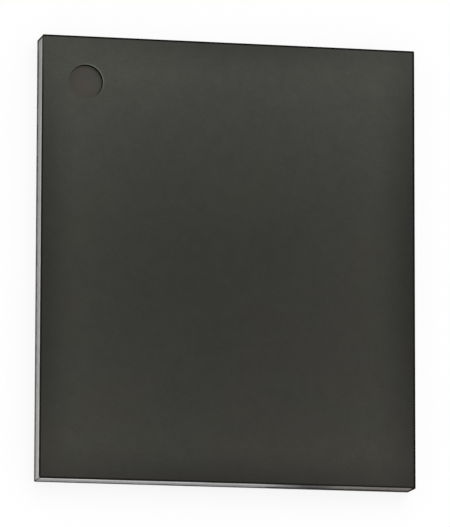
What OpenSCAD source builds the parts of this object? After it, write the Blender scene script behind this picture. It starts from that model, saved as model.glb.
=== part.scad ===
// Dual flat no-lead chip: a slab of moulding compound, sawn to size round a copper lead frame.
// The silicon die is glued to the frame's pad and wired to the leads.
// The solder faces lie on z = 0 and the marked face is on top. The lead rows run along Y, and pin 1
// is at the corner towards -X and +Y. The leads are numbered counter-clockwise, seen from the top.

/* [Package] */
// Width across the two lead rows
body_w = 6; // [5:0.1:8]
// Length along the lead rows
body_l = 7; // [6.5:0.1:10]
// Height from the solder faces to the marked face
body_h = 0.5; // [0.46:0.01:0.9]
// Height of the solder faces below the moulded underside
standoff = 0.02; // [0.01:0.005:0.05]
// Width of the edge break round the marked face
face_break = 0.02; // [0.005:0.005:0.04]
// Width of the break on the upright edges
corner_break = 0.012; // [0.004:0.002:0.03]

/* [Pin 1 dimple] */
// Diameter at the marked face
dimple_d = 0.54; // [0.3:0.02:0.8]
// Depth below the marked face
dimple_depth = 0.06; // [0.03:0.01:0.09]
// Slope of the wall, as the step inwards from the face to the floor
dimple_draft = 0.005; // [0.002:0.001:0.03]
// Centre to the side that carries pin 1
dimple_from_side = 0.69; // [0.5:0.01:1.2]
// Centre to the end next to pin 1
dimple_from_end = 0.73; // [0.5:0.01:1.2]

/* [Lead frame] */
// Thickness of the copper sheet
frame_t = 0.15; // [0.12:0.01:0.18]
// Height etched away under stubs, lips, rims and tie bars
etch_h = 0.075; // [0.05:0.005:0.1]

/* [Leads] */
// Number of leads in each row
leads_per_row = 12; // [4:1:13]
// Spacing of the leads along a row
lead_pitch = 0.5; // [0.4:0.05:0.55]
// Width of a lead
lead_w = 0.25; // [0.15:0.01:0.3]
// Length of the solder foot
foot_l = 0.4; // [0.3:0.02:0.6]
// Distance from the sawn side to the solder foot
pull_back = 0.1; // [0.04:0.02:0.2]
// Reach of the half-etched lip past the tip of the foot
lip = 0.1; // [0.04:0.02:0.14]

/* [Exposed pad] */
// Gap between the solder feet and the exposed face
pad_gap = 0.4; // [0.34:0.02:0.8]
// Distance from the sawn ends to the exposed face
pad_from_end = 0.75; // [0.4:0.05:1.2]
// Corner radius of the exposed face
pad_r = 0.1; // [0.04:0.01:0.2]
// Corner cut next to pin 1
pad_chamfer = 0.35; // [0.2:0.05:0.6]
// Reach of the half-etched rim past the exposed face
pad_rim = 0.12; // [0.04:0.02:0.16]
// Width of a tie bar
tie_w = 0.25; // [0.15:0.05:0.4]
// Distance of the tie bars from the centre line
tie_x = 1.2; // [0.5:0.1:1.4]

/* [Die] */
// Width of the die across the lead rows
die_w = 2.8; // [2:0.1:3.4]
// Length of the die along the lead rows
die_l = 4.2; // [4:0.1:5]
// Thickness of the ground die
die_t = 0.12; // [0.08:0.01:0.15]
// Thickness of the adhesive
glue_t = 0.02; // [0.01:0.005:0.03]
// Reach of the adhesive past the edges of the die
glue_rim = 0.06; // [0.02:0.01:0.1]

/* [Bond wires] */
// Diameter of the wire
wire_d = 0.025; // [0.018:0.001:0.032]
// Diameter of the pressed ball on the die
ball_d = 0.06; // [0.045:0.005:0.08]
// Height of the pressed ball
ball_h = 0.015; // [0.01:0.001:0.02]
// Centre of the ball to the edge of the die
ball_from_edge = 0.1; // [0.06:0.01:0.2]
// Spacing of the balls along the die
ball_pitch = 0.34; // [0.1:0.02:0.36]
// Height of the loop's centre line above the die
loop_h = 0.09; // [0.075:0.005:0.11]
// Bend radius at the top of the rise
loop_r = 0.04; // [0.02:0.005:0.045]
// Share of the run at which the loop turns down to the lead
loop_turn = 0.6; // [0.4:0.05:0.7]
// Length of the stitch pressed on the lead
stitch_l = 0.07; // [0.05:0.005:0.1]
// Width of the stitch
stitch_w = 0.045; // [0.035:0.005:0.06]
// Centre of the stitch to the tip of the lead's lip
stitch_from_tip = 0.12; // [0.08:0.01:0.2]

/* [Hidden] */
// Corners of a wire's section, few enough for a wire this fine
wire_sides = 8;
// Height of the cone from the ball up to the wire
neck_h = (ball_d - wire_d) / 2;
// Height of the wire's centre line where it meets the stitch
heel_h = 1.5 * wire_d;
// Reach of a cut past the face that it opens, or into the cut that it joins
past = 0.01;

lead_count = 2 * leads_per_row;
side_x = body_w / 2;
end_y = body_l / 2;
foot_tip_x = side_x - pull_back - foot_l;
lip_tip_x = foot_tip_x - lip;
pad_w = 2 * (foot_tip_x - pad_gap);
pad_l = body_l - 2 * pad_from_end;
die_z = frame_t + glue_t;
die_top = die_z + die_t;
ball_x = die_w / 2 - ball_from_edge;
stitch_x = lip_tip_x + stitch_from_tip;
$fn = 64;

// A lead's number as two digits, so that names sort in pin order
function numbered(name, i) = str(name, i < 10 ? "_0" : "_", i);
LEADS = [for (i = [1 : lead_count]) numbered("lead", i)];
WIRES = [for (i = [1 : lead_count]) numbered("bond_wire", i)];

// Row of a lead: -1 towards -X with pin 1, and 1 towards +X
function row_side(i) = i <= leads_per_row ? -1 : 1;
// Place in the row, in steps from its middle: pins run down the first row and up the second
function row_step(i) = (i <= leads_per_row ? i : lead_count + 1 - i) - (leads_per_row + 1) / 2;
function lead_y(i) = -row_step(i) * lead_pitch;
function ball_y(i) = -row_step(i) * ball_pitch;

// Strip along X with a round inner tip, drawn from the sawn side of the +X row inwards
module tipped_strip(outer_x, tip_x) {
    translate([tip_x + lead_w / 2, -lead_w / 2]) square([outer_x - tip_x - lead_w / 2, lead_w]);
    translate([tip_x + lead_w / 2, 0]) circle(d = lead_w);
}

// The embedded pieces take a reach that is 0 for the piece itself. As a cut in the moulding, a piece
// reaches that far past the sawn side, or down into what carries it.

// Full-thickness foot, and a half-etched strip that runs from the sawn side to the lip
module lead(i, reach = 0) {
    color("silver")
        translate([0, lead_y(i), 0])
            mirror([row_side(i) < 0 ? 1 : 0, 0, 0]) {
                linear_extrude(frame_t) tipped_strip(side_x - pull_back, foot_tip_x);
                translate([0, 0, etch_h])
                    linear_extrude(frame_t - etch_h) tipped_strip(side_x + reach, lip_tip_x);
            }
}

// Outline of the pad, grown by the given rim, with the pin 1 corner cut off
module pad_outline(rim) {
    w = pad_w + 2 * rim;
    l = pad_l + 2 * rim;
    r = pad_r + rim;
    cut = pad_chamfer + rim * (2 - sqrt(2));
    difference() {
        union() {
            square([w - 2 * r, l], center = true);
            square([w, l - 2 * r], center = true);
            for (sx = [-1, 1], sy = [-1, 1]) translate([sx * (w / 2 - r), sy * (l / 2 - r)]) circle(r);
        }
        translate([-w / 2, l / 2]) rotate(45) square(cut * sqrt(2), center = true);
    }
}

// Pad under the die: its lower face is soldered, and its half-etched rim and tie bars lock into the
// moulding
module exposed_pad(reach = 0) {
    tie_l = end_y + reach - pad_l / 2;
    color("silver") {
        linear_extrude(frame_t) pad_outline(0);
        translate([0, 0, etch_h])
            linear_extrude(frame_t - etch_h) {
                pad_outline(pad_rim);
                for (sx = [-1, 1], sy = [-1, 1])
                    translate([sx * tie_x, sy * (pad_l + tie_l) / 2])
                        square([tie_w, tie_l], center = true);
            }
    }
}

module die_adhesive(reach = 0) {
    size = [die_w + 2 * glue_rim, die_l + 2 * glue_rim];
    color("gainsboro")
        translate([0, 0, frame_t - reach])
            linear_extrude(glue_t + reach) square(size, center = true);
}

module silicon_die(reach = 0) {
    color("slategray")
        translate([0, 0, die_z - reach])
            linear_extrude(die_t + reach) square([die_w, die_l], center = true);
}

// Sections of a wire of the given run, as [distance along the run, height, half width, half depth]:
// up from the ball, over the bend, level to the turn and down to the stitch
function wire_sections(run, reach) =
    let (
        top = die_top + loop_h,
        bend = loop_r * (1 - sqrt(0.5)),
        ball = ball_d / 2,
        round = wire_d / 2
    )
    concat(
        reach > 0 ? [[0, die_top - reach, ball, ball]] : [],
        [
            [0, die_top, ball, ball],
            [0, die_top + ball_h, ball, ball],
            [0, die_top + ball_h + neck_h, round, round],
            [0, top - loop_r, round, round],
            [bend, top - bend, round, round],
            [loop_r, top, round, round],
            [loop_turn * run, top, round, round],
            [run - stitch_l / 2 - heel_h, frame_t + heel_h, round, round],
            [run, frame_t, stitch_w / 2, stitch_l / 2],
        ],
        reach > 0 ? [[run, frame_t - reach, stitch_w / 2, stitch_l / 2]] : []
    );

function heading(a, b) = atan2(b[1] - a[1], b[0] - a[0]);
// Tilt of section k: level over the die and on the lead, and square to the wire between them
function section_tilt(sections, k, run) =
    sections[k][0] == 0 ? 180
    : sections[k][0] == run ? 0
    : 90 + (heading(sections[k - 1], sections[k]) + heading(sections[k], sections[k + 1])) / 2;

// Two triangles for each side of the wire between neighbouring sections, and one face at each end
function tube_faces(rings) =
    let (n = wire_sides, last = n * (rings - 1))
    concat(
        [[for (k = [0 : n - 1]) k]],
        [for (j = [0 : rings - 2], k = [0 : n - 1]) [n * j + k, n * (j + 1) + k, n * j + (k + 1) % n]],
        [for (j = [0 : rings - 2], k = [0 : n - 1])
            [n * (j + 1) + k, n * (j + 1) + (k + 1) % n, n * j + (k + 1) % n]],
        [[for (k = [n - 1 : -1 : 0]) last + k]]
    );

// Wire in the upright plane through its ball and its stitch
module bond_wire(i, reach = 0) {
    start = [row_side(i) * ball_x, ball_y(i)];
    end = [row_side(i) * stitch_x, lead_y(i)];
    run = norm(end - start);
    ahead = (end - start) / run;
    aside = [-ahead[1], ahead[0]];
    sections = wire_sections(run, reach);
    points = [
        for (k = [0 : len(sections) - 1], s = [0 : wire_sides - 1])
            let (
                tilt = section_tilt(sections, k, run),
                turn = 360 * (s + 0.5) / wire_sides,
                across = sections[k][2] * cos(turn),
                along = sections[k][3] * sin(turn),
                flat = start + (sections[k][0] + along * cos(tilt)) * ahead + across * aside
            )
            [flat[0], flat[1], sections[k][1] + along * sin(tilt)]
    ];
    color("gold") polyhedron(points, tube_faces(len(sections)));
}

// Cone that opens the dimple, with the marked face at z = 0
module dimple_cut() {
    slope = dimple_draft / dimple_depth;
    translate([0, 0, -dimple_depth])
        cylinder(
            h = dimple_depth + past,
            r1 = dimple_d / 2 - dimple_draft,
            r2 = dimple_d / 2 + past * slope
        );
}

// Bar along X that cuts a square edge on its axis back to the given break
module edge_cut(length, width) {
    rotate([45, 0, 0]) cube([length + past, width * sqrt(2), width * sqrt(2)], center = true);
}

// Block between the saw cuts, with its edges broken round the marked face and at the corners
module sawn_slab() {
    difference() {
        translate([-side_x, -end_y, standoff]) cube([body_w, body_l, body_h - standoff]);
        for (sx = [-1, 1])
            translate([sx * side_x, 0, body_h]) rotate(90) edge_cut(body_l, face_break);
        for (sy = [-1, 1])
            translate([0, sy * end_y, body_h]) edge_cut(body_w, face_break);
        for (sx = [-1, 1], sy = [-1, 1])
            translate([sx * side_x, sy * end_y, body_h / 2])
                rotate([0, 90, 0]) edge_cut(body_h, corner_break);
    }
}

// Slab with the pin 1 dimple, moulded tightly round the frame, the die and the wires
module moulded_body() {
    color([0.23, 0.23, 0.21])
        difference() {
            sawn_slab();
            translate([dimple_from_side - side_x, end_y - dimple_from_end, body_h]) dimple_cut();
            exposed_pad(past);
            die_adhesive(past);
            silicon_die(past);
            for (i = [1 : lead_count]) lead(i, past);
            for (i = [1 : lead_count]) bond_wire(i, past);
        }
}

moulded_body();
exposed_pad();
die_adhesive();
silicon_die();
for (i = [1 : lead_count]) lead(i);
for (i = [1 : lead_count]) bond_wire(i);
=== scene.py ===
# A dual flat no-lead chip: a copper lead frame, a wired die and the moulding round them.
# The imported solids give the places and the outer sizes. Pieces are modelled in millimetres, because
# the modelling tools round off at a fixed fraction of a unit, and are brought to metres when done.
import math

import bmesh
import bpy
from mathutils import Matrix, Vector


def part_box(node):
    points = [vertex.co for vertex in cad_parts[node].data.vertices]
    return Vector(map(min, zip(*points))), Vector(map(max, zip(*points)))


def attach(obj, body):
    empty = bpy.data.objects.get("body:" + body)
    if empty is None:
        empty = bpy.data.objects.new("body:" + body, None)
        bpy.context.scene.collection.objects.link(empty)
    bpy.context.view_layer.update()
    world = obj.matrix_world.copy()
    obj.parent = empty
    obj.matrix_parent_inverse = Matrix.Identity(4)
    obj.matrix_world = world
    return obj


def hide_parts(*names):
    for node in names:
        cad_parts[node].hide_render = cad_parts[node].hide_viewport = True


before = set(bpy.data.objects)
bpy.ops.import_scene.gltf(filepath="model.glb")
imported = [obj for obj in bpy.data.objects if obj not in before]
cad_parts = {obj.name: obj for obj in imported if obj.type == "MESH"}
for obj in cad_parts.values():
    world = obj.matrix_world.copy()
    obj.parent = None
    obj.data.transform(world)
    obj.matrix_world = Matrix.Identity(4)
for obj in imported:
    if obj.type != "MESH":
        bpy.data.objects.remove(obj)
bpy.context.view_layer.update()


# The exposed pad is the middle of the lead frame, a copper sheet etched to its outline. Its rim and tie
# bars are half etched from below, so that the moulding grips them, and the whole is plated with matt
# tin. The saw that parts the chips cuts the tie bars flush with the ends and bares their copper.
mm = 0.001
# Lengths that count as nothing when points are cut or merged, and the angles of flat, round and sharp edges
hair = 1e-6
weld = 1e-5
flat_angle = math.radians(0.2)
smooth_angle = math.radians(30)
sharp_angle = math.radians(40)
slab_low, slab_high = (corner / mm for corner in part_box("moulded_body"))
side_x, end_y = slab_high.x, slab_high.y
pad_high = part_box("exposed_pad")[1] / mm
sheet_top = pad_high.z
etch_top = 0.075
pad_rim = 0.12
pad_corner_r = 0.1
pad_corner_steps = 8
pin_1_cut = 0.35
pad_from_end = 0.75
tie_w = 0.25
tie_x = 1.2
saw_waste = 0.05
etched_round = 0.008
etched_steps = 2
# Where the painted shade on the right of the near end begins, across X
near_shade_from = 0.74
end_skin = 0.004
TIN_LIGHT = (0.62, 0.61, 0.58, 1)
TIN_DULL = (0.53, 0.52, 0.495, 1)
COPPER = (0.09, 0.068, 0.056, 1)
COPPER_DULL = (0.05, 0.043, 0.038, 1)
# Near black painted shade on the copper ends within that shade
COPPER_SHADE_BLACK = (0.012, 0.011, 0.01, 1)


def pick(*pieces):
    """Selects these pieces alone and makes the first one active."""
    bpy.ops.object.select_all(action="DESELECT")
    for piece in pieces:
        piece.select_set(True)
    bpy.context.view_layer.objects.active = pieces[0]


def edit(piece):
    """Opens one piece for editing, with nothing else selected and nothing in it selected."""
    pick(piece)
    bpy.ops.object.mode_set(mode="EDIT")
    bpy.ops.mesh.select_all(action="DESELECT")


def choose(kind, test):
    """Selects the edges ("EDGE") or faces ("FACE") of the open piece that pass the test."""
    bpy.ops.mesh.select_mode(type=kind)
    bpy.ops.mesh.select_all(action="DESELECT")
    mesh = bmesh.from_edit_mesh(bpy.context.object.data)
    for element in mesh.edges if kind == "EDGE" else mesh.faces:
        if test(element):
            element.select_set(True)
    bmesh.update_edit_mesh(bpy.context.object.data)


def close():
    """Ends editing."""
    bpy.ops.object.mode_set(mode="OBJECT")


def block(name, low, high):
    """A rectangular blank between two corners, with its place in its mesh."""
    low, high = Vector(low), Vector(high)
    bpy.ops.mesh.primitive_cube_add(size=1, location=(low + high) / 2, scale=high - low)
    bpy.ops.object.transform_apply()
    bpy.context.object.name = name
    return bpy.context.object


def cut_corners(blank, width, steps, test):
    """Bevels the upright edges whose place passes the test, flat in one step or round in several."""
    edit(blank)
    choose("EDGE", lambda e: (e.verts[0].co - e.verts[1].co).xy.length < hair and test(e.verts[0].co))
    bpy.ops.mesh.bevel(offset=width, segments=steps, affect="EDGES")
    close()


def combine(piece, tool, operation):
    """Adds the tool to the piece ("UNION") or cuts it out ("DIFFERENCE"), and deletes the tool.

    The tool gets the piece's materials first, because the solver adds slots for any others.
    """
    tool.data.materials.clear()
    for material in piece.data.materials:
        tool.data.materials.append(material)
    boolean = piece.modifiers.new("combine", "BOOLEAN")
    boolean.object = tool
    boolean.operation = operation
    boolean.solver = "MANIFOLD"
    bpy.context.view_layer.objects.active = piece
    bpy.ops.object.modifier_apply(modifier=boolean.name)
    bpy.data.objects.remove(tool)


def clean(piece):
    """Merges doubles, dissolves edges inside flat faces and turns all faces outwards."""
    edit(piece)
    bpy.ops.mesh.select_all(action="SELECT")
    bpy.ops.mesh.remove_doubles(threshold=weld)
    bpy.ops.mesh.dissolve_limited(angle_limit=flat_angle, delimit={"MATERIAL"})
    bpy.ops.mesh.select_all(action="SELECT")
    bpy.ops.mesh.normals_make_consistent(inside=False)
    close()


def soften(piece, width):
    """Rounds every sharp edge, as etching and plating do."""
    bevel = piece.modifiers.new("soften", "BEVEL")
    bevel.width = width
    bevel.segments = etched_steps
    bevel.limit_method = "ANGLE"
    bevel.angle_limit = sharp_angle
    bpy.context.view_layer.objects.active = piece
    bpy.ops.object.modifier_apply(modifier=bevel.name)


def assign(piece, slot, test):
    """Gives the faces that pass the test the material in the given slot."""
    edit(piece)
    choose("FACE", test)
    piece.active_material_index = slot
    bpy.ops.object.material_slot_assign()
    close()


def saw(piece, place, outward, slot):
    """Cuts the piece off flat at a place and gives the cut the material in the given slot."""
    edit(piece)
    bpy.ops.mesh.select_all(action="SELECT")
    bpy.ops.mesh.bisect(plane_co=place, plane_no=outward, use_fill=True, clear_outer=True, threshold=hair)
    close()
    assign(piece, slot, lambda f: abs((f.calc_center_median() - place).dot(outward)) < weld)


def duplicate(piece, name, matrix=Matrix.Identity(4)):
    """A copy with a mesh of its own, placed by a matrix."""
    copy = piece.copy()
    copy.data = piece.data.copy()
    copy.data.transform(matrix)
    copy.name = name
    bpy.context.scene.collection.objects.link(copy)
    return copy


def finish_piece(piece, slot, *nodes):
    """Brings a piece to metres, smooths its round faces and puts it in the place of its solids."""
    piece.data.transform(Matrix.Scale(mm, 4))
    pick(piece)
    bpy.ops.object.shade_smooth_by_angle(angle=smooth_angle)
    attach(piece, "root")
    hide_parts(*nodes)


class Signal:
    """One socket of a material. Arithmetic on it adds Math nodes, and node() adds any other node."""

    def __init__(self, tree, socket=None):
        self.tree = tree
        self.socket = socket

    def feed(self, node, inputs):
        """Sets a node's sockets, by name or number, to values or links them to signals."""
        for key, value in inputs.items():
            if isinstance(value, Signal):
                self.tree.links.new(value.socket, node.inputs[key])
            else:
                node.inputs[key].default_value = value

    def node(self, kind, inputs, output=0, **settings):
        """Adds a node with its settings and its sockets' values or links, and returns one output."""
        made = self.tree.nodes.new("ShaderNode" + kind)
        for key, value in settings.items():
            setattr(made, key, value)
        self.feed(made, inputs)
        return Signal(self.tree, made.outputs[output])

    def math(self, operation, *others):
        """A Math node on this signal and the others, in that order."""
        return self.node("Math", dict(enumerate((self, *others))), operation=operation)

    def __add__(self, other):
        return self.math("ADD", other)

    def __sub__(self, other):
        return self.math("SUBTRACT", other)

    def __rsub__(self, other):
        return self.node("Math", {0: other, 1: self}, operation="SUBTRACT")

    def __mul__(self, other):
        return self.math("MULTIPLY", other)

    def __pow__(self, power):
        return self.math("POWER", power)

    def __abs__(self):
        return self.math("ABSOLUTE")

    __radd__ = __add__
    __rmul__ = __mul__

    def largest(self, *others):
        """The largest of this signal and the others."""
        found = self
        for other in others:
            found = found.math("MAXIMUM", other)
        return found

    def rise(self, start, end):
        """0 up to a start and 1 from an end, with a smooth rise between."""
        ends = {"Value": self, "From Min": start, "From Max": end}
        return self.node("MapRange", ends, interpolation_type="SMOOTHSTEP")

    def fall(self, start, end):
        """1 up to a start and 0 from an end, with a smooth fall between."""
        return self.rise(end, start)

    def noise(self, scale, detail=2.0, roughness=0.5):
        """Clouds from 0 to 1 over this place, with the given number of them in a millimetre."""
        settings = {"Vector": self, "Scale": scale, "Detail": detail, "Roughness": roughness}
        return self.node("TexNoise", settings)

    def stretched(self, x, y, z):
        """This place with its axes scaled."""
        return self.node("VectorMath", {0: self, 1: (x, y, z)}, operation="MULTIPLY")

    def scaled(self, factor):
        """This place or colour times a factor."""
        return self.node("VectorMath", {0: self, "Scale": factor}, operation="SCALE")

    def axes(self, names):
        """The named axes of this place, each as a signal."""
        return [self.node("SeparateXYZ", {0: self}, output=name) for name in names]

    def blend(self, first, second):
        """Two colours mixed by this share of the second."""
        return self.node("Mix", {0: self, 6: first, 7: second}, output=2, data_type="RGBA")

    def bump(self, depth):
        """A normal that raises the surface by this height, where 1 is a depth in millimetres."""
        return self.node("Bump", {"Height": self, "Distance": depth * mm})


def new_material(name):
    """A material, a function that sets its shader's sockets, and the place on the piece in millimetres."""
    material = bpy.data.materials.new(name)
    material.use_nodes = True
    start = Signal(material.node_tree)
    shader = material.node_tree.nodes["Principled BSDF"]
    place = start.node("TexCoord", {}, output="Object").scaled(1 / mm)
    return material, lambda inputs: start.feed(shader, inputs), place


def matt_tin():
    """Plated tin: fine grain over faint rolling lines, a little cloudy where it has dulled."""
    material, shade, place = new_material("matt_tin")
    clouds = place.noise(1.2, 3)
    rolled = place.stretched(35, 0.7, 1).noise(1, 2)
    grain = place.noise(90, 3)
    dulled = 0.55 * clouds + 0.3 * rolled + 0.15 * grain
    shade({
        "Base Color": dulled.rise(0.35, 0.68).blend(TIN_LIGHT, TIN_DULL),
        "Metallic": 1,
        "Roughness": 0.42 + 0.12 * clouds + 0.08 * grain,
        "Normal": (grain + 0.3 * rolled).bump(0.0012),
    })
    return material


def sawn_copper():
    """Cut copper with the saw's fine lines, dulled by resin and air, and painted near black with shade
    towards the right of the near end.
    """
    material, shade, place = new_material("sawn_copper")
    x, y = place.axes("XY")
    stain = place.noise(9, 3)
    lines = place.stretched(6, 6, 160).noise(1, 2)
    # Painted shade: the copper ends at the right of the near end turn near black, dull and not metallic
    near_end_shade = x.rise(near_shade_from, near_shade_from + 0.05) * (y + end_y).fall(end_skin / 2, end_skin)
    browned = stain.rise(0.35, 0.7).blend(COPPER, COPPER_DULL)
    shade({
        "Base Color": near_end_shade.blend(browned, COPPER_SHADE_BLACK),
        "Metallic": 0.8 - 0.8 * near_end_shade,
        "Roughness": 0.45 + 0.2 * stain + 0.35 * near_end_shade,
        "Normal": lines.bump(0.001),
    })
    return material


def pad_level(name, rim, low):
    """One level of the pad, from a height to the top of the sheet, grown by a rim."""
    x = pad_high.x - pad_rim + rim
    y = end_y - pad_from_end + rim
    level = block(name, (-x, -y, low), (x, y, sheet_top))
    cut_corners(level, pin_1_cut + rim * (2 - math.sqrt(2)), 1, lambda p: p.x < 0 < p.y)
    cut_corners(level, pad_corner_r + rim, pad_corner_steps, lambda p: not p.x < 0 < p.y)
    return level


tin = matt_tin()
copper = sawn_copper()
pad = pad_level("pad_plated", 0, 0)
pad.data.materials.append(tin)
pad.data.materials.append(copper)
combine(pad, pad_level("pad_rim", pad_rim, etch_top), "UNION")
for x in (-tie_x, tie_x):
    for toward in (-1, 1):
        ends = sorted((toward * (end_y - pad_from_end), toward * (end_y + saw_waste)))
        tie = block("tie", (x - tie_w / 2, ends[0], etch_top), (x + tie_w / 2, ends[1], sheet_top))
        combine(pad, tie, "UNION")
clean(pad)
soften(pad, etched_round)
pad_unsawn = duplicate(pad, "pad_unsawn")
for toward in (-1, 1):
    saw(pad, Vector((0, toward * end_y, 0)), Vector((0, toward, 0)), 1)
finish_piece(pad, "tinned_copper", "exposed_pad")


# The leads are fingers of the same etched and plated sheet, twelve in a row. Each has a solder foot
# with a round tip, a half-etched lip under the moulding and a half-etched stub that the saw cuts flush
# with the side. One is modelled and the rest are copies, turned about for the other row.
lead_names = sorted(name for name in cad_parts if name.startswith("lead_"))
lead_low, lead_high = (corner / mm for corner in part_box(lead_names[-1]))
lead_w = lead_high.y - lead_low.y
lead_pitch = 0.5
lip = 0.1
pull_back = 0.1
tip_steps = 48


def round_tipped(name, tip, outer, low):
    """A strip along X at the middle of the +X row, from a half-round tip to a flat outer end."""
    middle = tip + lead_w / 2
    bpy.ops.mesh.primitive_cylinder_add(
        vertices=tip_steps,
        radius=lead_w / 2,
        depth=sheet_top - low,
        location=(middle, 0, (low + sheet_top) / 2),
    )
    strip = bpy.context.object
    strip.name = name
    bpy.ops.object.transform_apply()
    edit(strip)
    bpy.ops.mesh.select_all(action="SELECT")
    bpy.ops.mesh.bisect(
        plane_co=(middle, 0, 0), plane_no=(1, 0, 0), use_fill=True, clear_outer=True, threshold=hair
    )
    choose("FACE", lambda f: f.normal.x > 0.9)
    bpy.ops.mesh.extrude_region()
    bpy.ops.transform.translate(value=(outer - middle, 0, 0))
    close()
    return strip


lead_model = round_tipped("lead_model", lead_low.x, side_x + saw_waste, etch_top)
lead_model.data.materials.append(tin)
lead_model.data.materials.append(copper)
combine(lead_model, round_tipped("foot", lead_low.x + lip, side_x - pull_back, 0), "UNION")
clean(lead_model)
soften(lead_model, etched_round)
lead_sawn = duplicate(lead_model, "lead_sawn")
saw(lead_sawn, Vector((side_x, 0, 0)), Vector((1, 0, 0)), 1)
leads_unsawn = []
for name in lead_names:
    low, high = (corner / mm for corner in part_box(name))
    turn = Matrix.Rotation(0 if low.x > 0 else math.pi, 4, "Z")
    place = Matrix.Translation((0, (low.y + high.y) / 2, 0)) @ turn
    lead = duplicate(lead_sawn, name + "_plated", place)
    finish_piece(lead, "tinned_copper", name)
    leads_unsawn.append(duplicate(lead_model, name + "_unsawn", place))
bpy.data.objects.remove(lead_model)
bpy.data.objects.remove(lead_sawn)


# The adhesive is a thin layer of epoxy filled with silver flakes. It was pressed out a little past
# the edges of the die and cured in an oven. Its solid is right as it is and gets the flakes' look.
SILVER_FLAKE = (0.66, 0.65, 0.62, 1)
EPOXY = (0.36, 0.35, 0.33, 1)


def silver_epoxy():
    """Flakes that lie at random in a grey resin."""
    material, shade, place = new_material("silver_epoxy")
    flakes = place.node("TexVoronoi", {"Vector": place, "Scale": 55}, output="Color")
    flake = flakes.node("SeparateColor", {0: flakes})
    shade({
        "Base Color": flake.rise(0.3, 0.9).blend(EPOXY, SILVER_FLAKE),
        "Metallic": 0.6,
        "Roughness": 0.35 + 0.3 * flake,
        "Normal": flake.bump(0.002),
    })
    return material


def dress(node, material):
    """Gives a solid that stays as it is a new material."""
    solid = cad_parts[node]
    solid.data.materials.clear()
    solid.data.materials.append(material)


dress("die_adhesive", silver_epoxy())


# The die is a ground and sawn chip of silicon. Its top carries blocks of fine circuit lines under glass,
# with a row of aluminium bond pads along the two edges that face the leads.
SILICON = (0.1, 0.11, 0.13, 1)
CIRCUIT = (0.26, 0.21, 0.3, 1)
CIRCUIT_EDGE = (0.16, 0.24, 0.24, 1)
ALUMINIUM = (0.72, 0.72, 0.7, 1)
die_low, die_high = (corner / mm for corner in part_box("silicon_die"))
ball_from_edge = 0.1
ball_pitch = 0.34
bond_pad = 0.085
pad_edge = 0.002
circuit_l = 0.62
circuit_w = 0.41
circuit_gap = 0.012
top_skin = 0.001
row_length = ball_pitch * (len(lead_names) // 2 - 1)


def circuit_silicon():
    """Circuit blocks and bond pads on the top face, and plain ground silicon on the sides."""
    material, shade, place = new_material("circuit_silicon")
    x, y, z = place.axes("XYZ")
    top = z.rise(die_high.z - 2 * top_skin, die_high.z - top_skin)
    blocks = place.node(
        "TexBrick",
        {"Vector": place, "Color1": CIRCUIT, "Color2": CIRCUIT_EDGE, "Mortar": SILICON,
         "Scale": 1, "Mortar Size": circuit_gap, "Brick Width": circuit_l, "Row Height": circuit_w},
    )
    lines = place.stretched(70, 9, 1).noise(1, 1)
    across = abs(abs(x) - (die_high.x - ball_from_edge))
    along = (y + row_length / 2).math("PINGPONG", ball_pitch / 2)
    row_end = row_length / 2 + bond_pad
    pads = top * abs(y).fall(row_end, row_end + pad_edge)
    for from_centre in (across, along):
        pads = pads * from_centre.fall(bond_pad / 2, bond_pad / 2 + pad_edge)
    etched = (top * (0.35 + 0.65 * lines)).blend(SILICON, blocks)
    shade({
        "Base Color": pads.blend(etched, ALUMINIUM),
        "Metallic": 0.5 + 0.5 * pads,
        "Roughness": 0.3 + 0.15 * lines,
        "Normal": lines.bump(0.0006),
    })
    return material


dress("silicon_die", circuit_silicon())


# The bond wires are drawn gold wire. Each was melted to a ball that is pressed on its bond pad, led up
# and over in a low loop, and squashed to a flat stitch on its lead. Wires with the same run are copies.
GOLD = (0.83, 0.58, 0.22, 1)
GOLD_DEEP = (0.66, 0.42, 0.14, 1)
wire_names = sorted(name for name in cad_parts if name.startswith("bond_wire_"))
wire_r = 0.0125
wire_sides = 16
ball_r = 0.03
ball_h = 0.015
ball_edge = 0.004
neck_h = ball_r - wire_r
loop_h = 0.09
loop_r = 0.04
loop_turn = 0.6
stitch_l = 0.07
stitch_w = 0.045
stitch_from_tip = 0.12
heel_h = 3 * wire_r
bend_steps = 6
seat_overlap = 0.01


def drawn_gold():
    """Gold with faint lines from the drawing die."""
    material, shade, place = new_material("drawn_gold")
    tone = place.noise(25, 3)
    shade({
        "Base Color": tone.blend(GOLD, GOLD_DEEP),
        "Metallic": 1,
        "Roughness": 0.22 + 0.14 * tone,
        "Normal": place.noise(300, 2).bump(0.0004),
    })
    return material


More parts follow.
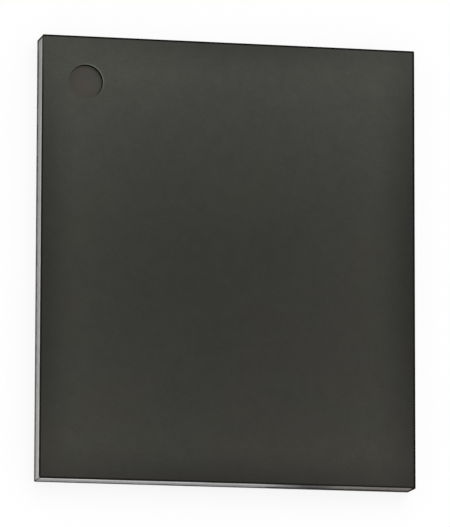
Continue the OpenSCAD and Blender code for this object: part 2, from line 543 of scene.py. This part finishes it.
def wire_rings(run, sunk):
    """Rings from the ball to the stitch, as (distance, height, half depth, half width, tilt)."""
    top = die_high.z + loop_h
    neck = die_high.z + ball_h + neck_h
    heel = run - stitch_l / 2 - heel_h
    fall = math.atan2(sheet_top + heel_h - top, heel - loop_turn * run)
    rings = [
        (0, die_high.z, ball_r - ball_edge, ball_r - ball_edge, 0),
        (0, die_high.z + ball_edge, ball_r, ball_r, 0),
        (0, die_high.z + ball_h - ball_edge, ball_r, ball_r, 0),
        (0, die_high.z + ball_h, ball_r - ball_edge, ball_r - ball_edge, 0),
        (0, neck, wire_r, wire_r, 0),
    ]
    for step in range(bend_steps + 1):
        turned = math.pi / 2 * step / bend_steps
        ahead = loop_r * (1 - math.cos(turned))
        rings.append((ahead, top - loop_r * (1 - math.sin(turned)), wire_r, wire_r, turned))
    for step in range(bend_steps + 1):
        share = step / bend_steps
        ahead = loop_turn * run + (share - 0.5) * 2 * loop_r
        drop = math.tan(fall) * max(share - 0.5, 0) * 2 * loop_r
        rings.append((ahead, top + drop, wire_r, wire_r, math.pi / 2 - fall * share))
    rings.append((heel, sheet_top + heel_h, wire_r, wire_r, math.pi / 2 - fall))
    rings.append((run, sheet_top, stitch_l / 2, stitch_w / 2, math.pi))
    if sunk:
        rings.insert(0, (0, die_high.z - sunk, ball_r - ball_edge, ball_r - ball_edge, 0))
        rings.append((run, sheet_top - sunk, stitch_l / 2, stitch_w / 2, math.pi))
    return rings


def drawn_wire(name, run, sunk=0):
    """A wire along X, from a ball at the origin to a stitch at the end of its run."""
    rings = wire_rings(run, sunk)
    at = Vector((rings[0][0], 0, rings[0][1]))
    bpy.ops.mesh.primitive_circle_add(
        vertices=wire_sides, radius=rings[0][2], fill_type="NGON", location=at
    )
    wire = bpy.context.object
    wire.name = name
    bpy.ops.object.transform_apply()
    edit(wire)
    bpy.ops.mesh.select_all(action="SELECT")
    for last, ring in zip(rings, rings[1:]):
        step = Vector((ring[0] - last[0], 0, ring[1] - last[1]))
        at = at + step
        bpy.ops.mesh.extrude_region()
        bpy.ops.transform.translate(value=step)
        bpy.ops.transform.resize(
            value=(ring[2] / last[2], ring[3] / last[3], ring[2] / last[2]), center_override=at
        )
        bpy.ops.transform.rotate(value=last[4] - ring[4], orient_axis="Y", center_override=at)
    bpy.ops.mesh.select_all(action="SELECT")
    bpy.ops.mesh.normals_make_consistent(inside=False)
    close()
    return wire


gold = drawn_gold()
models = {}
wires_sunk = []
for name, lead_name in zip(wire_names, lead_names):
    low, high = (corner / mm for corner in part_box(lead_name))
    row = 1 if low.x > 0 else -1
    stitch = Vector((row * (lead_low.x + stitch_from_tip), (low.y + high.y) / 2))
    ball = Vector((row * (die_high.x - ball_from_edge), stitch.y * ball_pitch / lead_pitch))
    run = (stitch - ball).length
    place = Matrix.Translation((ball.x, ball.y, 0)) @ Matrix.Rotation(
        math.atan2(stitch.y - ball.y, stitch.x - ball.x), 4, "Z"
    )
    key = round(run, 6)
    if key not in models:
        models[key] = drawn_wire("wire_model", run), drawn_wire("wire_tool", run, seat_overlap)
        models[key][0].data.materials.append(gold)
    wire = duplicate(models[key][0], name + "_drawn", place)
    finish_piece(wire, "gold_wire", name)
    wires_sunk.append(duplicate(models[key][1], name + "_sunk", place))
for model in models.values():
    for piece in model:
        bpy.data.objects.remove(piece)


# The body is a slab of epoxy filled with fused silica, moulded in one flat sheet over many frames and
# sawn apart. Its marked face has the mould's satin grain and the round pin 1 dimple, which an ejector
# The four sawn sides show cut filler. Much of the body's light and shade is painted: black lines along the
# far edges and in the dimple's wall, dark corners and a dark foot on the sides, a paler top to the sides, a
# darker middle and dark margins on the face, and a highlight by the dimple's rim.
FACE_GREEN = (0.0251, 0.026, 0.0217, 1)
FACE_BROWN = (0.0263, 0.0255, 0.0212, 1)
DIMPLE = (0.0525, 0.046, 0.0395, 1)
DIMPLE_GREY = (0.0455, 0.0441, 0.0382, 1)
SAWN_SIDE = (0.29, 0.279, 0.268, 1)
SAWN_END = (0.2, 0.2, 0.214, 1)
# A pale painted gleam towards the top of the sawn sides, a painted reflection of the pale bench
SAWN_PAINTED_GLEAM = (0.51, 0.5, 0.485, 1)
# A painted shadow along the foot of the sawn sides, where they meet the bench
SAWN_FOOT_SHADOW = (0.035, 0.034, 0.034, 1)
FILLER = (0.46, 0.45, 0.44, 1)
# Painted shade on the right of the near end: grey, then brown that is paler higher up, and near black where
# deepest
NEAR_SHADE_GREY = (0.18, 0.174, 0.178, 1)
NEAR_SHADE_BROWN = (0.135, 0.122, 0.11, 1)
NEAR_SHADE_PALE = (0.18, 0.165, 0.15, 1)
NEAR_SHADE_BLACK = (0.06, 0.057, 0.056, 1)
# Near black painted shade for the thin lines along the edges, the corners and the dimple's wall
EDGE_SHADE = (0.0012, 0.0012, 0.001, 1)
EDGE_SHADE_SOFT = (0.006, 0.006, 0.005, 1)
dimple_r = 0.27
dimple_depth = 0.06
dimple_draft = 0.005
dimple_from_side = 0.69
dimple_from_end = 0.73
dimple_fillet = 0.008
dimple_fillet_steps = 3
dimple_steps = 128
dimple_at = Vector((dimple_from_side - side_x, end_y - dimple_from_end))
# Where a thin painted highlight lies just outside the dimple's rim, towards its far right
highlight_toward = Vector((0.78, 0.62))
highlight_start = (0, 0.006)
highlight_end = (0.014, 0.03)
face_break = 0.02
# Tone of the black painted shade lines beside the face's edges
face_line_tone = 0.06
corner_break = 0.012
underside_break = 0.006
near = 1e-4
# Where the painted shade on the near end is deepest across X and how it fades, and how the whole of it
# fades in from the left
deep_shade_x = 1.38
deep_shade_fade = (0.12, 0.4)
near_end_shade_fade = (near_shade_from - 0.3, near_shade_from + 0.3)
# Where the painted shade and light on a sawn side fade: the shadow along its foot and the black one under
# the near end's shade, the paler brown higher in that shade, the pale gleam and the glare towards its top,
# and the black shade lines at its edges and corners, as distances from the underside or from an edge
foot_shadow_fade = (0.08, 0.2)
black_foot_shadow_fade = (0.18, 0.27)
brown_fade = (0.25, 0.45)
gleam_fade = (0.28, 0.47)
glare_fade = (0.34, 0.44)
side_line_fade = (0.03, 0.055)
side_corner_shade_fade = (0.045, 0.06)
end_line_fade = (0.0105, 0.0145)
end_corner_shade_fade = (0.06, 0.08)


def painted_margin_shade(from_edge, from_middle, width, depth, fade, start=-0.2):
    """Painted shade: darkening of the face towards one edge, deepest at the middle of that edge."""
    return 1 - (depth - fade * from_middle ** 2) * from_edge.fall(start, width)


def painted_edge_line(from_edge, start, end):
    """A thin black line of painted shade on the face beside the broken edge."""
    return face_line_tone + (1 - face_line_tone) * (from_edge - face_break).rise(start, end)


def painted_face_light(x, y):
    """Painted light and shade on the marked face: dark near the middle, light at the far end, with dark
    margins and black lines at the edges.
    """
    middle = 1 + 0.064 * (y + 0.7) ** 2 + 0.045 * x ** 2 + 0.12 * (y - x).rise(2.8, 5)
    left_side = painted_margin_shade(side_x + x, y + 0.3, width=0.63, depth=0.57, fade=0.027)
    right_side = painted_margin_shade(side_x - x, y + 0.3, width=0.75, depth=0.66, fade=0.027)
    far_end = painted_margin_shade(end_y - y, x, width=0.65, depth=0.42, fade=0.03)
    near_end = painted_margin_shade(end_y + y, x, width=0.65, depth=0.6, fade=0.03)
    left_line = painted_edge_line(side_x + x, -0.006, -0.001).largest(0.7 * y.rise(2.4, 3.4))
    right_line = painted_edge_line(side_x - x, 0.01, 0.026)
    end_lines = painted_edge_line(end_y - y, 0.01, 0.017) * painted_edge_line(end_y + y, 0.008, 0.019)
    margins = left_side * right_side * far_end * near_end
    return middle * margins * left_line * right_line * end_lines


def from_dimple(x, y):
    """Distance from the dimple's centre, and how far it lies towards the far right, where a highlight is
    painted by the rim.
    """
    across = x - dimple_at.x
    along = y - dimple_at.y
    return (across ** 2 + along ** 2) ** 0.5, highlight_toward.x * across + highlight_toward.y * along


def painted_rim_highlight(x, y):
    """1 just outside the dimple's rim on its far right, where a highlight is painted."""
    distance, far_right = from_dimple(x, y)
    past_rim = distance - dimple_r
    ring = past_rim.rise(*highlight_start) * past_rim.fall(*highlight_end)
    return ring * far_right.rise(0.3 * dimple_r, dimple_r)


def moulded_compound():
    """Satin black epoxy with soft mottling and the mould's fine grain; on the marked face, painted light
    and shade and a painted highlight beside the dimple.
    """
    material, shade, place = new_material("moulded_compound")
    x, y, z = place.axes("XYZ")
    on_top = z.rise(slab_low.z + face_break, slab_high.z - face_break)
    clouds = place.noise(0.8, 3)
    mottle = place.noise(4, 5, 0.75)
    grain = place.noise(45, 3)
    tint = (clouds - 0.06 * y).rise(0.42, 0.72).blend(FACE_GREEN, FACE_BROWN)
    cloudy = 0.475 + 0.15 * clouds + 0.5 * mottle + 0.4 * grain
    # The marked face's painted light and shade, and the painted highlight beside the dimple's rim, scale
    # the mottled tone
    tone = cloudy * (1 + on_top * (painted_face_light(x, y) - 1)) + 1.9 * on_top * painted_rim_highlight(x, y)
    shade({
        "Base Color": tint.scaled(tone),
        "Specular IOR Level": 0.12,
        "Roughness": 0.55 + 0.12 * mottle,
        "Normal": (grain + 0.6 * mottle).bump(0.002),
    })
    return material


def painted_shade_lines(x, y, z, on_end):
    """1 in the black lines of painted shade under the top edge of the sawn sides and ends, and beside the
    corners at the far end and at the right.
    """
    on_side = 1 - on_end
    below_top = slab_high.z - z
    return (on_side * (below_top - face_break + 0.004 * (y - 2)).fall(*side_line_fade)).largest(
        on_side * (end_y - y).fall(*side_corner_shade_fade),
        on_end * (below_top + 0.0013 * x).fall(*end_line_fade),
        on_end * (side_x - x).fall(*end_corner_shade_fade),
    )


def cut_tone(x, y, height, lines, filler, on_end):
    """Colour of a clean cut, specked with filler, with painted light and shade: a pale painted gleam
    towards the top, and brightness that changes along its length.
    """
    tone = on_end.blend(SAWN_SIDE, SAWN_END)
    # Painted reflection: the sides turn paler towards the top
    tone = (height.rise(*gleam_fade) * (0.5 + lines)).blend(tone, SAWN_PAINTED_GLEAM)
    tone = (0.3 * filler).blend(tone, FILLER)
    # Painted light and shade: brightness that changes along each side and across each end
    side_light = 1.02 - 0.055 * y - 0.12 * height.rise(*glare_fade) * (y - 2)
    end_light = 1.07 - 0.24 * x.rise(-2.2, 0.7)
    return tone.scaled(side_light + on_end * (end_light - side_light))


def sawn_compound():
    """Cut epoxy: saw lines and specks of filler, with painted shade: a ragged dark shadow along the foot,
    the right of the near end dark brown to near black, dark corners and black lines by the edges.
    """
    material, shade, place = new_material("sawn_compound")
    x, y, z = place.axes("XYZ")
    lines = place.stretched(1.5, 1.5, 45).noise(1, 3)
    patches = place.noise(7, 4)
    grit = place.noise(35, 3, 0.7)
    specks = place.node("TexVoronoi", {"Vector": place, "Scale": 38})
    filler = specks.fall(0.12, 0.3) * patches.rise(0.35, 0.65)
    height = z - slab_low.z + 0.12 * (patches - 0.5) + 0.05 * (lines - 0.5)
    on_end = (end_y - abs(y)).fall(face_break, face_break + end_skin)
    on_near_end = (end_y + y).fall(face_break, face_break + end_skin)
    # Painted shade: the right of the near end darker and browner, and near black round one place
    near_end_shade = on_near_end * (x + 0.2 * (patches - 0.5)).rise(*near_end_shade_fade)
    deep_shade = near_end_shade * abs(x - deep_shade_x).fall(*deep_shade_fade)
    # Painted shadow: a dark foot along the bottom of every sawn side, and a black one under the near end's
    # painted shade
    foot = height.fall(*foot_shadow_fade) * (1 - (0.08 - 0.04 * y) * (1 - on_end))
    black_foot_shadow = near_end_shade.rise(0.1, 0.5) * (height - 0.05 * deep_shade).fall(*black_foot_shadow_fade)
    in_shade_lines = painted_shade_lines(x, y, z, on_end).largest(black_foot_shadow)
    tone = cut_tone(x, y, height, lines, filler, on_end)
    brown = height.rise(*brown_fade).blend(NEAR_SHADE_BROWN, NEAR_SHADE_PALE)
    tone = near_end_shade.blend(tone, x.rise(deep_shade_x, deep_shade_x + 0.3).blend(NEAR_SHADE_GREY, brown))
    tone = (0.8 * deep_shade).blend(tone, NEAR_SHADE_BLACK)
    tone = tone.scaled(0.49 + 0.32 * lines.rise(0.3, 0.7) + 0.7 * grit)
    tone = foot.blend(tone, SAWN_FOOT_SHADOW)
    # Painted shade darkens the sawn sides beside each upright corner
    from_corner = (side_x - abs(x)) + (end_y - abs(y))
    tone = (0.75 * from_corner.fall(1.2 * corner_break, 1.5 * corner_break)).blend(tone, EDGE_SHADE_SOFT)
    shade({
        "Base Color": in_shade_lines.blend(tone, EDGE_SHADE_SOFT),
        "Specular IOR Level": 0.2,
        "Roughness": (0.42 + 0.12 * patches + 0.4 * foot).largest(0.9 * near_end_shade + in_shade_lines),
        "Normal": (lines + 0.5 * filler + 0.5 * grit).bump(0.002),
    })
    return material


def painted_edge_shade():
    """Painted shade: near black with faint blotches, on the thin bevels along the right side's and far
    end's top edges and round the underside, and on the dimple's wall.
    """
    material, shade, place = new_material("painted_edge_shade")
    shade_blotches = place.noise(12, 3)
    shade({
        "Base Color": shade_blotches.rise(0.4, 0.8).blend(EDGE_SHADE, EDGE_SHADE_SOFT),
        "Specular IOR Level": 0,
        "Roughness": 0.7 + 0.2 * shade_blotches,
        "Normal": shade_blotches.bump(0.001),
    })
    return material


def smooth_dimple():
    """The ejector pin's mark: smoother and warmer than the face and greyer to the right, with painted light
    that makes it paler to the right and near its far right rim.
    """
    material, shade, place = new_material("smooth_dimple")
    x, y = place.axes("XY")
    clouds = place.noise(4, 3)
    turned = place.noise(60, 2)
    distance, far_right = from_dimple(x, y)
    painted_rim_light = distance.rise(0.7 * dimple_r, dimple_r) * far_right.fall(-0.1 * dimple_r, 0.5 * dimple_r)
    tint = (clouds + 2 * (x - dimple_at.x)).rise(0.45, 0.85).blend(DIMPLE, DIMPLE_GREY)
    # Painted light against the recess's shade: paler towards the far right and near the rim there
    light = 0.98 + 0.15 * far_right.rise(-0.55 * dimple_r, 0.75 * dimple_r) + 0.2 * painted_rim_light
    shade({
        "Base Color": tint.scaled(light),
        "Specular IOR Level": 0.12,
        "Roughness": 0.42 + 0.1 * clouds,
        "Normal": turned.bump(0.0006),
    })
    return material


def bevel_edges(piece, width, slot, test):
    """Bevels the edges whose two ends pass the test, with the given slot's material on the bevel."""
    edit(piece)
    choose("EDGE", lambda e: all(test(v.co) for v in e.verts))
    bpy.ops.mesh.bevel(offset=width, segments=1, affect="EDGES", material=slot)
    close()


def join(pieces):
    """Makes several pieces one."""
    pick(*pieces)
    bpy.ops.object.join()
    return pieces[0]


FACE_SLOT, SAWN_SLOT, EDGE_SHADE_SLOT, DIMPLE_SLOT = range(4)
body = block("body_moulded", slab_low, slab_high)
for material in (moulded_compound(), sawn_compound(), painted_edge_shade(), smooth_dimple()):
    body.data.materials.append(material)
assign(body, SAWN_SLOT, lambda f: abs(f.normal.z) < 0.5)
cut_corners(body, corner_break, 1, lambda p: True)
# Thin bevels along the top edges take the black painted shade; then the near end's bevel gets the sawn
# sides' material back, and the left side's the face's
bevel_edges(body, face_break, EDGE_SHADE_SLOT, lambda p: p.z > slab_high.z - near)
assign(body, SAWN_SLOT, lambda f: f.normal.z > 0.5 and f.normal.y < -0.5)
assign(body, FACE_SLOT, lambda f: f.normal.z > 0.5 and f.normal.x < -0.5)
# Thin bevels round the underside take the black painted shade too
bevel_edges(body, underside_break, EDGE_SHADE_SLOT, lambda p: p.z < slab_low.z + near)

glue_low, glue_high = (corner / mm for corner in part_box("die_adhesive"))
sink = Vector((0, 0, seat_overlap))
combine(body, join([pad_unsawn, *leads_unsawn]), "DIFFERENCE")
combine(body, block("glue_tool", glue_low - sink, glue_high), "DIFFERENCE")
combine(body, block("die_tool", die_low - sink, die_high), "DIFFERENCE")
combine(body, join(wires_sunk), "DIFFERENCE")

slope = dimple_draft / dimple_depth
bpy.ops.mesh.primitive_cone_add(
    vertices=dimple_steps,
    radius1=dimple_r - dimple_draft,
    radius2=dimple_r + seat_overlap * slope,
    depth=dimple_depth + seat_overlap,
    location=(*dimple_at, slab_high.z + (seat_overlap - dimple_depth) / 2),
)
dimple_tool = bpy.context.object
bpy.ops.object.transform_apply()
edit(dimple_tool)
choose("FACE", lambda f: f.normal.z < -0.9)
bpy.ops.mesh.bevel(offset=dimple_fillet, segments=dimple_fillet_steps, affect="EDGES")
close()
combine(body, dimple_tool, "DIFFERENCE")


def in_dimple(point):
    """Whether a point lies within the dimple's circle and no lower than its floor."""
    high_enough = point.z > slab_high.z - dimple_depth - near
    return high_enough and (point.xy - dimple_at).length < dimple_r + near


# The dimple's wall is painted black with shade; its floor then gets the dimple's own material
assign(body, EDGE_SHADE_SLOT, lambda f: all(in_dimple(v.co) for v in f.verts))
assign(body, DIMPLE_SLOT, lambda f: f.normal.z > 0.5 and all(in_dimple(v.co) for v in f.verts))
clean(body)
finish_piece(body, "moulding_compound", "moulded_body")


# The chip lies on a plain pale bench under a soft sky, with one large lamp towards the far right. To the
# eye and in reflections the bench and the sky are white, but that white adds no light to matt surfaces.
BENCH = (0.96, 0.96, 0.96, 1)
BENCH_CLOUD = (0.94, 0.94, 0.94, 1)
WHITE = (1, 1, 1, 1)
bench_r = 0.25
bench_steps = 96
bench_drop = 2e-6
bench_glow = 0.85
sky_level = 0.8
lamp_power = 2
lamp_size = 0.6
lamp_at = Vector((0.1, 0.3, 0.7))

bpy.ops.mesh.primitive_circle_add(
    vertices=bench_steps, radius=bench_r, fill_type="NGON", location=(0, 0, -bench_drop)
)
bench = bpy.context.object
bench.name = "bench"
bpy.ops.object.transform_apply()
bench_material = bpy.data.materials.new("bench")
bench_material.use_nodes = True
bench.data.materials.append(bench_material)


def seen_directly(tree):
    """1 for what the camera sees, also by way of metal or glass, and 0 for light that falls on the chip."""
    kinds = ("Is Camera Ray", "Is Glossy Ray", "Is Transmission Ray")
    first, *others = (Signal(tree).node("LightPath", {}, output=kind) for kind in kinds)
    return first.largest(*others)


tree = bench_material.node_tree
tree.nodes.remove(tree.nodes["Principled BSDF"])
seen = seen_directly(tree)
cloudy = Signal(tree).node("TexCoord", {}, output="Object").noise(40, 2)
lit = seen.node("BsdfDiffuse", {"Color": cloudy.blend(BENCH, BENCH_CLOUD)})
glow = seen.node("Emission", {"Color": WHITE, "Strength": 1})
surface = seen.node("MixShader", {0: bench_glow * seen, 1: lit, 2: glow})
tree.links.new(surface.socket, tree.nodes["Material Output"].inputs["Surface"])

world = bpy.data.worlds.new("sky")
bpy.context.scene.world = world
world.use_nodes = True
tree = world.node_tree
seen = seen_directly(tree)
sky_strength = sky_level + (1 - sky_level) * seen
sky_strength.feed(tree.nodes["Background"], {"Color": WHITE, "Strength": sky_strength})

lamp_data = bpy.data.lights.new("softbox", "AREA")
lamp_data.size = lamp_size
lamp_data.energy = lamp_power
lamp = bpy.data.objects.new("softbox", lamp_data)
bpy.context.scene.collection.objects.link(lamp)
lamp.location = lamp_at
lamp.rotation_euler = (-lamp_at).to_track_quat("-Z", "Y").to_euler()
lamp.visible_camera = False


# The camera looks down on the marked face from the near left, with the lead rows upright in the picture.
camera_eye = Vector((-18.5, -13.94, 84.11)) * mm
camera_aim = Vector((-0.0187, 0.0094, 0.25)) * mm
camera_roll = math.radians(0.128)
camera_lens = 378.32
camera_near = mm

camera_data = bpy.data.cameras.new("camera")
camera_data.lens = camera_lens
camera_data.clip_start = camera_near
camera = bpy.data.objects.new("camera", camera_data)
bpy.context.scene.collection.objects.link(camera)
back = (camera_eye - camera_aim).normalized()
right = Vector((0, 1, 0)).cross(back).normalized()
turned = Matrix((right, back.cross(right), back)).transposed() @ Matrix.Rotation(camera_roll, 3, "Z")
camera.matrix_world = Matrix.Translation(camera_eye) @ turned.to_4x4()
bpy.context.scene.camera = camera
bpy.context.scene.view_settings.view_transform = "Standard"
